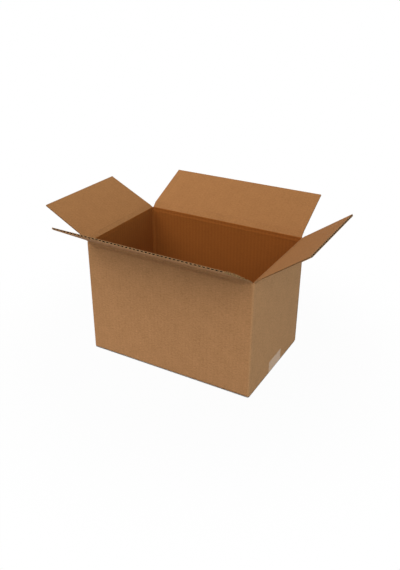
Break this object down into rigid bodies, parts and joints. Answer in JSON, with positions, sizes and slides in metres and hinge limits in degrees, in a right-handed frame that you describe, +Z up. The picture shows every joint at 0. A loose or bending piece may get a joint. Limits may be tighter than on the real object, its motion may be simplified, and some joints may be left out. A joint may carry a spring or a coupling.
{
  "type": "open cardboard box",
  "caption": "Plain brown corrugated shipping carton, standing open with its top flaps folded out and its bottom taped shut.",
  "frame": {"origin": "middle of the base, where the box stands on a table", "axes": "+X along the long walls to the right, +Y from the front wall to the back wall, +Z up"},
  "size_m": [0.465, 0.365, 0.2587],
  "materials": {
    "kraft_board": "matte",
    "kraft_flaps": "matte",
    "clear_tape": "gloss"
  },
  "bodies": {
    "carton": {"box_body": "kraft_board", "sealing_tape": "clear_tape"},
    "left_flap": {"top_flap_left": "kraft_flaps"},
    "right_flap": {"top_flap_right": "kraft_flaps"},
    "front_flap": {"top_flap_front": "kraft_flaps"},
    "back_flap": {"top_flap_back": "kraft_flaps"}
  },
  "joints": [
    {"name": "left_flap_fold", "type": "hinge", "parent": "carton", "child": "left_flap", "pos_m": [-0.15005, 0, 0.1992], "axis": [0, -1, 0], "range_deg": [-153, 112]},
    {"name": "right_flap_fold", "type": "hinge", "parent": "carton", "child": "right_flap", "pos_m": [0.15005, 0, 0.1992], "axis": [0, 1, 0], "range_deg": [-144, 121]},
    {"name": "front_flap_fold", "type": "hinge", "parent": "carton", "child": "front_flap", "pos_m": [0, -0.09755, 0.2025], "axis": [1, 0, 0], "range_deg": [-149, 116]},
    {"name": "back_flap_fold", "type": "hinge", "parent": "carton", "child": "back_flap", "pos_m": [0, 0.09755, 0.2025], "axis": [-1, 0, 0], "range_deg": [-153.5, 111.5]}
  ]
}
